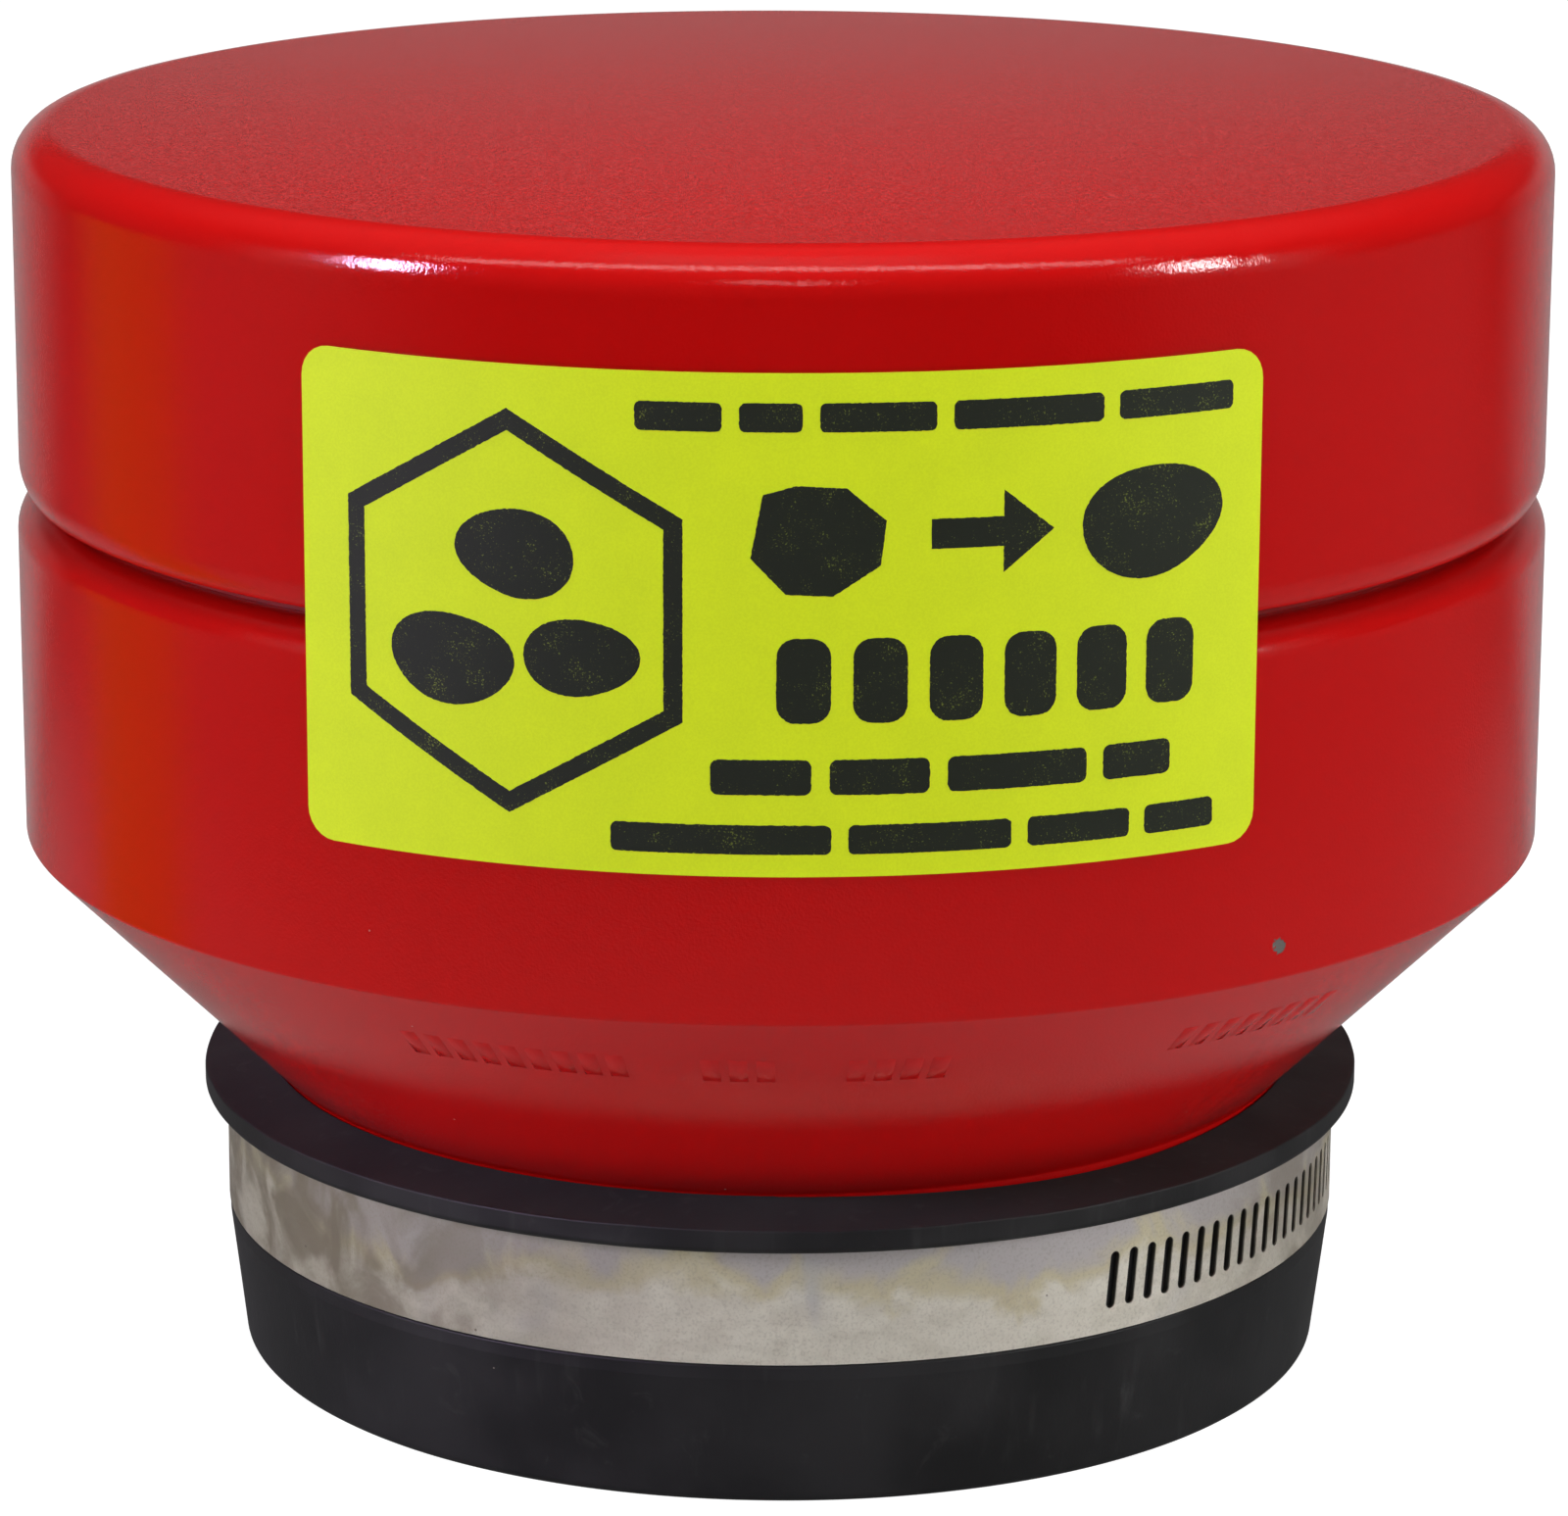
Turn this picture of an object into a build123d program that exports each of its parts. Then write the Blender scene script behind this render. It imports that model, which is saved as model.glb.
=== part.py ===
from build123d import *
from math import asin, ceil, degrees, radians, sin, cos, sqrt, tan
import os

# A rock tumbler's barrel, standing mouth down on its rubber lid.
# Millimetres, +Z up, origin at the centre of the lid's flat underside.
# Azimuth is counted from the front (-Y) towards +X. A piece that isn't round is built at
# the front and turned by its azimuth about +Z.

# --- Driving dimensions -------------------------------------------------------------------

# 6 in drain pipe and the two fittings cemented on it
pipe_radius = 79.7
pipe_wall = 4.5
cement_gap = 0.05  # radial, between cemented pieces
pipe_end_gap = 0.25  # at both ends of the pipe
cap_radius = 84.0
reducer_radius = 84.25
overall_height = 138.15
crown_thickness = 5.0
crown_round = 4.6
groove_bottom = 97.35  # top face of the reducer
groove_height = 1.4
groove_lip_round = 3.0  # on both lips of the groove

# Reducer: a 45 degree cone down to the 4 in hub
cone_top = 60.0
cone_edge_round = 0.6
pipe_stop = 62.0  # ledge that the pipe stands on
hub_radius = 57.5
hub_bore_radius = 53.5
hub_end = 5.3
hub_chamfer = 1.5
hub_ledge_radius = 52.0
hub_ledge_bottom = 31.5
hub_ledge_top = 33.0

# Lifter bars cemented inside the drum
lifter_count = 4
first_lifter_azimuth = 0.0
lifter_width = 9.0
lifter_depth = 8.0
lifter_round = 2.0
lifter_bottom = 66.0
lifter_top = 129.0

# Label, 4 x 2 in
label_width = 101.6
label_height = 50.8
label_corner = 3.2
label_thickness = 0.15
label_middle = 100.85
label_clearance = 0.02  # over the reducer

# Rubber lid
lid_floor = 5.0
lid_base_radius = 60.7
lid_base_round = 1.0
lid_shoulder_radius = 62.4
lid_shoulder_bottom = 14.4
seat_radius = 61.9
seat_bottom = 15.9
rim_radius = 65.0
rim_bottom = 29.1
rim_top = 31.7
rim_inner_top = 32.6  # the squeezed rim stands a little higher beside the hub
rim_round = 0.7
lid_inner_round = 1.2
lid_fit = 0.1  # radial, over the hub

# Clamp strap, 1/2 in wide, with a slot every 0.1 in
strap_width = 12.7
strap_thickness = 0.6
strap_middle = 22.45
strap_gap = 0.05  # over the rubber seat
overlap_rise = 1.5  # how far the slotted end is lifted over the buried one
tail_corner = 3.0
slot_pitch = 2.54
slot_length = 6.3
slot_width = 1.2
slot_lean = 6.2  # degrees, top towards +azimuth
slot_middle = 21.85
first_slot_azimuth = 34.5
seated_slots = 37  # before the strap starts to lift
lifted_slots = 8  # from there to the middle of the housing

# Clamp housing and screw, which lies tangent to the strap
housing_length = 16.0
housing_wall = 0.8
housing_gap = 0.3  # to everything that moves in it
leg_wall = 0.7
shoulder_bend = 0.6  # outside bend where a shoulder turns down into a leg
saddle_thickness = 0.5
saddle_gap = 0.2  # to the strap on both sides of it
worm_crest_radius = 4.2
worm_root_radius = 3.3
worm_crest_width = 0.5
worm_flank_slope = 0.19  # sideways per radial millimetre, on each flank
worm_bite = 0.35  # how far the crest enters the slots
worm_end_gap = 0.3  # to the housing's end walls
journal_fit = 0.08  # radial, of the screw in its two holes
neck_radius = 3.0
pilot_radius = 2.0
pilot_length = 1.3
head_across_flats = 7.94
head_start = 11.0  # along the screw, from the middle of the housing
head_length = 5.2
head_bevel = 30.0  # degrees
driver_slot_width = 1.3
driver_slot_depth = 1.8
loosening_turns = 4
covered_end = 1.5  # degrees of the buried end that stay covered when the clamp is loose
ramp_angle = 11.0
ramp_clearance = 2.0  # degrees, to the housing
free_tail_angle = 10.0  # past the housing when the clamp is loose

# --- Derived ------------------------------------------------------------------------------

cap_bottom = groove_bottom + groove_height
crown_underside = overall_height - crown_thickness
pipe_inner_radius = pipe_radius - pipe_wall
socket_radius = pipe_radius + cement_gap
hub_top = cone_top - (reducer_radius - hub_radius)
inner_cone_top = hub_ledge_top + (pipe_inner_radius - hub_ledge_radius)
lid_bore_radius = hub_radius + lid_fit

inner_lap = seat_radius + strap_gap
outer_lap = inner_lap + overlap_rise
outer_lap_outside = outer_lap + strap_thickness
seated_pitch_angle = degrees(slot_pitch / (inner_lap + strap_thickness / 2))
lifted_pitch_angle = degrees(slot_pitch / (outer_lap + strap_thickness / 2))
last_seated_azimuth = first_slot_azimuth + seated_slots * seated_pitch_angle
housing_azimuth = last_seated_azimuth + lifted_slots * lifted_pitch_angle

housing_half_angle = degrees(asin(housing_length / 2 / outer_lap_outside))
crawl_angle = loosening_turns * lifted_pitch_angle
buried_end_azimuth = housing_azimuth - housing_half_angle + crawl_angle + covered_end
ramp_end_azimuth = housing_azimuth - housing_half_angle - ramp_clearance
ramp_start_azimuth = ramp_end_azimuth - ramp_angle
tail_azimuth = housing_azimuth + housing_half_angle + crawl_angle + free_tail_angle

worm_axis_radius = outer_lap_outside - worm_bite + worm_crest_radius
worm_length = housing_length - 2 * (housing_wall + worm_end_gap)
dome_inner_radius = worm_crest_radius + housing_gap
dome_outer_radius = dome_inner_radius + housing_wall
shoulder_radius = outer_lap_outside + housing_gap
leg_inside = strap_width / 2 + housing_gap
leg_outside = leg_inside + leg_wall
saddle_radius = inner_lap + strap_thickness + saddle_gap


# --- Helpers ------------------------------------------------------------------------------

def at_azimuth(shape, azimuth):
    return shape.rotate(Axis.Z, azimuth)


def moved(shape, x, y, z):
    return shape.translate((x, y, z))


def turned(corners):
    """A solid of revolution about Z from straight-sided (radius, height) corners."""
    outline = Polyline(*[(radius, 0, height) for radius, height in corners], close=True)
    return revolve(make_face(outline), Axis.Z)


def circles_at(shape, radius, height):
    """The circular edges of a turned shape at one radius and height."""
    near = 0.01
    return [
        edge
        for edge in shape.edges().filter_by(GeomType.CIRCLE)
        if abs(edge.radius - radius) < near and abs(edge.arc_center.Z - height) < near
    ]


def ring_sector(inner, outer, bottom, top, start, end):
    """Part of a ring of rectangular section, between two azimuths."""
    corners = [(inner, 0, bottom), (outer, 0, bottom), (outer, 0, top), (inner, 0, top)]
    sector = revolve(make_face(Polyline(*corners, close=True)), Axis.Z, end - start)
    return at_azimuth(sector, start - 90)


# --- Drum ---------------------------------------------------------------------------------

def make_end_cap():
    cap = turned([
        (0, crown_underside),
        (socket_radius, crown_underside),
        (socket_radius, cap_bottom),
        (cap_radius, cap_bottom),
        (cap_radius, overall_height),
        (0, overall_height),
    ])
    cap = fillet(circles_at(cap, cap_radius, overall_height), crown_round)
    return fillet(circles_at(cap, cap_radius, cap_bottom), groove_lip_round)


def make_drum_pipe():
    bottom = pipe_stop + pipe_end_gap
    top = crown_underside - pipe_end_gap
    return turned([
        (pipe_inner_radius, bottom),
        (pipe_radius, bottom),
        (pipe_radius, top),
        (pipe_inner_radius, top),
    ])


def make_reducer():
    reducer = turned([
        (hub_bore_radius, hub_end),
        (hub_radius, hub_end),
        (hub_radius, hub_top),
        (reducer_radius, cone_top),
        (reducer_radius, groove_bottom),
        (socket_radius, groove_bottom),
        (socket_radius, pipe_stop),
        (pipe_inner_radius, pipe_stop),
        (pipe_inner_radius, inner_cone_top),
        (hub_ledge_radius, hub_ledge_top),
        (hub_ledge_radius, hub_ledge_bottom),
        (hub_bore_radius, hub_ledge_bottom),
    ])
    reducer = fillet(circles_at(reducer, reducer_radius, groove_bottom), groove_lip_round)
    reducer = fillet(circles_at(reducer, reducer_radius, cone_top), cone_edge_round)
    return chamfer(circles_at(reducer, hub_radius, hub_end), hub_chamfer)


def make_lifter_bar(azimuth):
    """A bar along the drum, rounded inwards, its back curved to the pipe's wall."""
    back = pipe_inner_radius - cement_gap
    height = lifter_top - lifter_bottom
    middle = (lifter_top + lifter_bottom) / 2
    bar = moved(Box(lifter_width, 2 * lifter_depth, height), 0, -back, middle)
    inward_edges = bar.edges().filter_by(Axis.Z).group_by(Axis.Y)[-1]
    bar = fillet(inward_edges, lifter_round)
    drum_inside = moved(Cylinder(back, height), 0, 0, middle)
    return at_azimuth(bar & drum_inside, azimuth)


def make_label():
    inner = reducer_radius + label_clearance
    half_angle = degrees(label_width / 2 / inner)
    corner_angle = degrees(label_corner / inner)
    bottom = label_middle - label_height / 2
    top = label_middle + label_height / 2
    label = ring_sector(inner, inner + label_thickness, bottom, top, -half_angle, half_angle)
    cutter_depth = 8.0
    for side in (-1, 1):
        for edge, inward in ((bottom, 1), (top, -1)):
            # everything past the rounded corner: a block less a round bar
            block = Box(2 * label_corner, cutter_depth, label_corner)
            block = moved(block, side * label_corner, -inner, edge + inward * label_corner / 2)
            bar = Cylinder(label_corner, cutter_depth, rotation=(90, 0, 0))
            bar = moved(bar, 0, -inner, edge + inward * label_corner)
            label -= at_azimuth(block - bar, side * (half_angle - corner_angle))
    return label


# --- Lid ----------------------------------------------------------------------------------

def make_rubber_cap():
    cap = turned([
        (0, 0),
        (lid_base_radius, 0),
        (lid_shoulder_radius, lid_shoulder_bottom),
        (lid_shoulder_radius, seat_bottom),
        (seat_radius, seat_bottom),
        (seat_radius, rim_bottom),
        (rim_radius, rim_bottom),
        (rim_radius, rim_top),
        (lid_bore_radius, rim_inner_top),
        (lid_bore_radius, lid_floor),
        (0, lid_floor),
    ])
    cap = fillet(circles_at(cap, lid_base_radius, 0), lid_base_round)
    rim_edges = circles_at(cap, rim_radius, rim_bottom) + circles_at(cap, rim_radius, rim_top)
    cap = fillet(rim_edges, rim_round)
    cap = fillet(circles_at(cap, lid_bore_radius, lid_floor), lid_inner_round)
    return cap - make_rim_dent()


def make_rim_dent():
    """The shallow dent that the housing's upper leg presses into the soft rim's underside."""
    margin = 1.5  # degrees past the housing at both ends of its travel
    past_rim = 1.0
    start = housing_azimuth - housing_half_angle - margin
    end = housing_azimuth + housing_half_angle + crawl_angle + margin
    dent_top = strap_middle + leg_outside + housing_gap
    return ring_sector(seat_radius, rim_radius + past_rim, rim_bottom, dent_top, start, end)


def plan_point(radius, azimuth):
    return Vector(radius * sin(radians(azimuth)), -radius * cos(radians(azimuth)))


def plan_arc(radius, start, end):
    return CenterArc((0, 0), radius, start - 90, end - start)


def strap_line(radius):
    """One side of the strap in plan, from its buried end round to its tail."""
    lifted = radius + overlap_rise
    seated_arc = plan_arc(radius, buried_end_azimuth - 360, ramp_start_azimuth)
    ramp = Line(seated_arc @ 1, plan_point(lifted, ramp_end_azimuth))
    lifted_arc = plan_arc(lifted, ramp_end_azimuth, tail_azimuth)
    return [seated_arc, ramp, lifted_arc]


def make_clamp_band():
    inside = strap_line(inner_lap)
    outside = strap_line(inner_lap + strap_thickness)
    buried_end = Line(inside[0] @ 0, outside[0] @ 0)
    tail_end = Line(inside[2] @ 1, outside[2] @ 1)
    outline = make_face(Curve() + [*inside, *outside, buried_end, tail_end])
    band = moved(extrude(outline, strap_width), 0, 0, strap_middle - strap_width / 2)
    tail = Vector(tail_end @ 0.5)
    tail_edges = [
        edge
        for edge in band.edges().filter_by(GeomType.LINE)
        if (Vector((edge @ 0.5).X, (edge @ 0.5).Y) - tail).length < strap_thickness / 4
        and edge.length < 2 * strap_thickness
    ]
    band = fillet(tail_edges, tail_corner)
    return band - make_slots()


def make_slots():
    """Cutters for the slots, one pitch apart along the strap all the way to its tail."""
    azimuths = [first_slot_azimuth + i * seated_pitch_angle for i in range(seated_slots)]
    last_slot_margin = 4.0
    azimuth = last_seated_azimuth
    while azimuth < tail_azimuth - last_slot_margin:
        azimuths.append(azimuth)
        azimuth += lifted_pitch_angle
    return [make_slot(azimuth) for azimuth in azimuths]


def make_slot(azimuth):
    """A cutter through the one lap, or through the outer lap alone where there are two."""
    one_lap = azimuth < buried_end_azimuth - lifted_pitch_angle
    depth = 3 * overlap_rise if one_lap else 2 * strap_thickness
    outline = Plane.XZ * SlotOverall(slot_length, slot_width, rotation=90 - slot_lean)
    cutter = extrude(outline, depth / 2, both=True)
    return at_azimuth(moved(cutter, 0, -outer_lap - strap_thickness / 2, slot_middle), azimuth)


# --- Clamp housing and screw --------------------------------------------------------------

def screw_cylinder(radius, start, end):
    """A cylinder on the screw's axis between two distances from the housing's middle."""
    body = Cylinder(radius, end - start, rotation=(0, 90, 0))
    return moved(body, (start + end) / 2, -worm_axis_radius, slot_middle)


def dome(radius, length):
    """Arch over the screw: half round outwards, straight-sided down to the shoulders."""
    depth = worm_axis_radius - shoulder_radius
    arch = Cylinder(radius, length, rotation=(0, 90, 0))
    sides = moved(Box(length, depth, 2 * radius), 0, depth / 2, 0)
    return moved(arch + sides, 0, -worm_axis_radius, slot_middle)


def make_clamp_housing():
    depth = shoulder_radius + housing_wall - saddle_radius
    block = Box(housing_length, depth, 2 * leg_outside)
    block = fillet(block.edges().filter_by(Axis.X).group_by(Axis.Y)[0], shoulder_bend)
    block = moved(block, 0, -saddle_radius - depth / 2, strap_middle)
    strap_room = Box(housing_length, shoulder_radius, 2 * leg_inside)
    strap_room = moved(strap_room, 0, -shoulder_radius / 2, strap_middle)
    seat_room = moved(Cylinder(saddle_radius, 2 * strap_width), 0, 0, strap_middle)
    worm_room = dome(dome_inner_radius, housing_length - 2 * housing_wall)
    wall_inside = housing_length / 2 - housing_wall
    neck_hole = screw_cylinder(neck_radius + journal_fit, 0, housing_length)
    pilot_hole = screw_cylinder(pilot_radius + journal_fit, -housing_length, -wall_inside)
    shell = block + dome(dome_outer_radius, housing_length)
    housing = shell - [strap_room, seat_room, worm_room, neck_hole, pilot_hole]
    return at_azimuth(housing, housing_azimuth)


def make_clamp_saddle():
    bottom = strap_middle - leg_inside
    top = strap_middle + leg_inside
    outside = saddle_radius + saddle_thickness
    plate = ring_sector(saddle_radius, outside, bottom, top, -housing_half_angle, housing_half_angle)
    return at_azimuth(plate, housing_azimuth)


def make_worm():
    """Core and right-hand thread along +Z, with a crest at height 0 on the +Y side."""
    half_turns = ceil(worm_length / 2 / slot_pitch) + 0.25
    half_height = half_turns * slot_pitch
    sunk = 0.3  # how far the thread's foot is let into the core
    foot = worm_root_radius - sunk
    foot_width = worm_crest_width + 2 * worm_flank_slope * (worm_crest_radius - foot)
    section = Plane.XZ * make_face(Polyline(
        (foot, -foot_width / 2),
        (worm_crest_radius, -worm_crest_width / 2),
        (worm_crest_radius, worm_crest_width / 2),
        (foot, foot_width / 2),
        close=True,
    ))
    helix = Helix(slot_pitch, 2 * half_height, worm_root_radius, center=(0, 0, -half_height))
    thread = sweep(moved(section, 0, 0, -half_height), path=helix, is_frenet=True)
    trimmed = thread & Cylinder(2 * worm_crest_radius, worm_length)
    return Cylinder(worm_root_radius, worm_length) + trimmed


def make_screw_head():
    """Hexagon with a bevelled outer rim and a slot for a flat screwdriver, along +X."""
    hexagon = extrude(Plane.YZ * RegularPolygon(head_across_flats / sqrt(3), 6), head_length)
    flats_radius = head_across_flats / 2
    base_radius = flats_radius + head_length / tan(radians(head_bevel))
    bevel = Cone(base_radius, flats_radius, head_length, rotation=(0, 90, 0))
    head = hexagon & moved(bevel, head_length / 2, 0, 0)
    driver_slot = Box(2 * driver_slot_depth, 2 * head_across_flats, driver_slot_width)
    head -= moved(driver_slot, head_length, 0, 0)
    return moved(head, head_start, -worm_axis_radius, slot_middle)


def make_clamp_screw():
    half = worm_length / 2
    worm = moved(make_worm().rotate(Axis.Y, 90), 0, -worm_axis_radius, slot_middle)
    neck = screw_cylinder(neck_radius, half, head_start)
    pilot = screw_cylinder(pilot_radius, -half - pilot_length, -half)
    return at_azimuth(worm + neck + pilot + make_screw_head(), housing_azimuth)


# --- One STEP file per piece ----------------------------------------------------------------

pieces = {
    "end_cap": make_end_cap(),
    "drum_pipe": make_drum_pipe(),
    "reducer": make_reducer(),
    "label": make_label(),
    "rubber_cap": make_rubber_cap(),
    "clamp_band": make_clamp_band(),
    "clamp_housing": make_clamp_housing(),
    "clamp_saddle": make_clamp_saddle(),
    "clamp_screw": make_clamp_screw(),
}
for number in range(lifter_count):
    lifter_azimuth = first_lifter_azimuth + number * 360 / lifter_count
    pieces[f"lifter_bar_{number + 1}"] = make_lifter_bar(lifter_azimuth)

os.makedirs("parts", exist_ok=True)
for node, shape in pieces.items():
    export_step(shape, f"parts/{node}.step")
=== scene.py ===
import math
import random

import bmesh
import bpy
from mathutils import Matrix, Vector, noise


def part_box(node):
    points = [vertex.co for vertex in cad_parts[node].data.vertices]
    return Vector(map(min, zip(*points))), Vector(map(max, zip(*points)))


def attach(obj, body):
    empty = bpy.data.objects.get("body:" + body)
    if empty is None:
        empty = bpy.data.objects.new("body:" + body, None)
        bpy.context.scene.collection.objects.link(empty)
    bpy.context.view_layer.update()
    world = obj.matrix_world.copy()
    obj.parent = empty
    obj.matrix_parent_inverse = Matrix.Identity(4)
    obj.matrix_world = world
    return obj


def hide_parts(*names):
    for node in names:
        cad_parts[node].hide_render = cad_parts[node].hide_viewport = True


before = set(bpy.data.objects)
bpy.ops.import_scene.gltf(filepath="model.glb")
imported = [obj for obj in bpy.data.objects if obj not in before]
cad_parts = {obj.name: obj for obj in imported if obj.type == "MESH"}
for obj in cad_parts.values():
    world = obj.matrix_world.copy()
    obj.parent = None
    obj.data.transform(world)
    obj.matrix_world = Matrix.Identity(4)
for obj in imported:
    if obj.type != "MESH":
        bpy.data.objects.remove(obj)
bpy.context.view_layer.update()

# A rock tumbler's barrel, standing mouth down on its rubber lid. Metres, +Z up, the front is -Y.
# Azimuth is counted from the front towards +X, in degrees.

MM = 0.001
cap_low, cap_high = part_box("end_cap")
reducer_low, reducer_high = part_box("reducer")
_, pipe_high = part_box("drum_pipe")
_, lid_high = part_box("rubber_cap")
band_low, band_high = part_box("clamp_band")
label_low, label_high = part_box("label")

# --- Sizes of the turned pieces -----------------------------------------------------------

CEMENT_GAP = 0.05 * MM
PIPE_WALL = 4.5 * MM
PIPE_RADIUS = pipe_high.x
SOCKET_RADIUS = PIPE_RADIUS + CEMENT_GAP
CAP_RADIUS = cap_high.x
CAP_TOP = cap_high.z
CAP_BOTTOM = cap_low.z
CROWN_THICKNESS = 5.0 * MM
CROWN_ROUND = 4.6 * MM
LIP_ROUND = 5.2 * MM  # on the upper lip of the groove
LIP_INSET = 1.0 * MM  # how far the round has come in where the groove cuts it off
LIP_DROP = 1.45 * MM
SHOULDER_ROUND = 3.5 * MM  # on the lower lip
LIP_BREAK = 0.15 * MM
RIM_BREAK = 0.4 * MM  # small round on edges that are sharp in the CAD

REDUCER_RADIUS = reducer_high.x
GROOVE_BOTTOM = reducer_high.z
CONE_TOP = 60.0 * MM
CONE_EDGE_ROUND = 0.6 * MM
PIPE_STOP = 62.0 * MM
HUB_RADIUS = 57.5 * MM
HUB_BORE = 53.5 * MM
HUB_END = reducer_low.z
HUB_CHAMFER = 1.5 * MM
LEDGE_RADIUS = 52.0 * MM
LEDGE_BOTTOM = 31.5 * MM
LEDGE_TOP = 33.0 * MM
HUB_TOP = CONE_TOP - (REDUCER_RADIUS - HUB_RADIUS)
PIPE_BORE = PIPE_RADIUS - PIPE_WALL

LID_FLOOR = 5.0 * MM
LID_BORE = HUB_RADIUS + 0.1 * MM
LID_BASE_RADIUS = 60.7 * MM
LID_SHOULDER_RADIUS = 62.4 * MM
SHOULDER_BOTTOM = 14.4 * MM
SEAT_RADIUS = 61.9 * MM
SEAT_BOTTOM = band_low.z - 0.2 * MM
LID_RIM_RADIUS = lid_high.x
LID_RIM_BOTTOM = 29.1 * MM
LID_RIM_TOP = 31.7 * MM
LID_RIM_INNER_TOP = lid_high.z
LID_RIM_ROUND = 0.7 * MM
LID_RIM_CUT_ROUND = 0.2 * MM  # the top edge of the rim is cut, not moulded

STRAP_GAP = 0.05 * MM
STRAP_THICKNESS = 0.6 * MM
SLOT_MIDDLE = 21.85 * MM
SLOT_LENGTH = 6.3 * MM

LABEL_OUTSIDE = -label_low.y
LABEL_THICKNESS = 0.15 * MM
LABEL_WIDTH = 101.6 * MM
LABEL_BOTTOM = label_low.z
LABEL_TOP = label_high.z
LABEL_MIDDLE = (LABEL_BOTTOM + LABEL_TOP) / 2
LABEL_CORNER = 3.2 * MM

TURNS = 512  # facets round a turned piece


# --- Mesh helpers -------------------------------------------------------------------------

def around(radius, azimuth, height):
    """The point at a radius and azimuth (radians from the front) and a height."""
    return Vector((radius * math.sin(azimuth), -radius * math.cos(azimuth), height))


def rounded_corner(before, corner, after, radius, steps):
    """The arc that rounds one corner of an outline."""
    into, out = (before - corner).normalized(), (after - corner).normalized()
    half = into.angle(out) / 2
    centre = corner + (into + out).normalized() * (radius / math.sin(half))
    start = corner + into * (radius / math.tan(half)) - centre
    end = corner + out * (radius / math.tan(half)) - centre
    turn = start.angle_signed(end)
    return [centre + Matrix.Rotation(-turn * i / steps, 2) @ start for i in range(steps + 1)]


def outline(corners, closed, longest=2.0 * MM, steps=10, guard=0.25 * MM):
    """Points along (radius, height, round) corners. A guard point holds each end of a straight
    side flat beside its round, and no side has points further apart than longest."""
    places = [Vector((r, z)) for r, z, _ in corners]
    runs = []
    for i, (_, _, radius) in enumerate(corners):
        inside = closed or 0 < i < len(corners) - 1
        if radius and inside:
            after = places[(i + 1) % len(places)]
            runs.append(rounded_corner(places[i - 1], places[i], after, radius, steps))
        else:
            runs.append([places[i]])
    points = []
    for i, run in enumerate(runs):
        points += run
        if i == len(runs) - 1 and not closed:
            break
        start, end = run[-1], runs[(i + 1) % len(runs)][0]
        length = (end - start).length
        count = max(1, math.ceil((length - 2 * guard) / longest))
        shares = [guard / length + (1 - 2 * guard / length) * k / count for k in range(count + 1)]
        points += [start.lerp(end, share) for share in shares if length > 3 * guard]
    return points


def linked(name, mesh):
    """A new object of a mesh, in the scene."""
    thing = bpy.data.objects.new(name, mesh)
    bpy.context.scene.collection.objects.link(thing)
    return thing


def finished(mesh, material, sharp_angle, body, replaced):
    """The piece of a mesh: smooth but for edges over an angle in degrees, riding on a body, and
    standing for CAD nodes."""
    piece = linked(mesh.name, mesh)
    mesh.materials.append(material)
    mesh.shade_smooth()
    mesh.set_sharp_from_angle(angle=math.radians(sharp_angle))
    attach(piece, body)
    if replaced:
        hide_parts(*replaced)
    return piece


def new_piece(name, vertices, faces, material, body, replaced=()):
    """A piece from its vertices and faces."""
    mesh = bpy.data.meshes.new(name)
    mesh.from_pydata(vertices, [], faces)
    mesh.update()
    return finished(mesh, material, 40, body, replaced)


def turned(points, closed, shape):
    """Vertices and faces of an outline turned about Z. An open outline starts and ends on the
    axis. shape(point, azimuth) moves a vertex to its final place."""
    on_axis = 1e-6
    rings, vertices = [], []
    for radius, height in points:
        if radius < on_axis:
            rings.append([len(vertices)] * TURNS)
            vertices.append(Vector((0, 0, height)))
            continue
        rings.append([len(vertices) + k for k in range(TURNS)])
        for k in range(TURNS):
            azimuth = 2 * math.pi * k / TURNS
            vertices.append(shape(around(radius, azimuth, height), azimuth))
    faces = []
    for i in range(len(rings) if closed else len(rings) - 1):
        low, high = rings[i], rings[(i + 1) % len(rings)]
        for k in range(TURNS):
            after = (k + 1) % TURNS
            corners = (low[k], low[after], high[after], high[k])
            faces.append(tuple(dict.fromkeys(corners)))
    return vertices, faces


def paint_inside(piece, material, is_inside):
    """Gives a second material to the faces whose middle passes is_inside."""
    piece.data.materials.append(material)
    for face in piece.data.polygons:
        if is_inside(face.center):
            face.material_index = 1


def smooth_noise(place, size, seed):
    """Noise from about -1 to 1, with features of one size."""
    return noise.noise(place / size + Vector((seed, seed, seed)))


# --- Material helpers ---------------------------------------------------------------------

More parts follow.
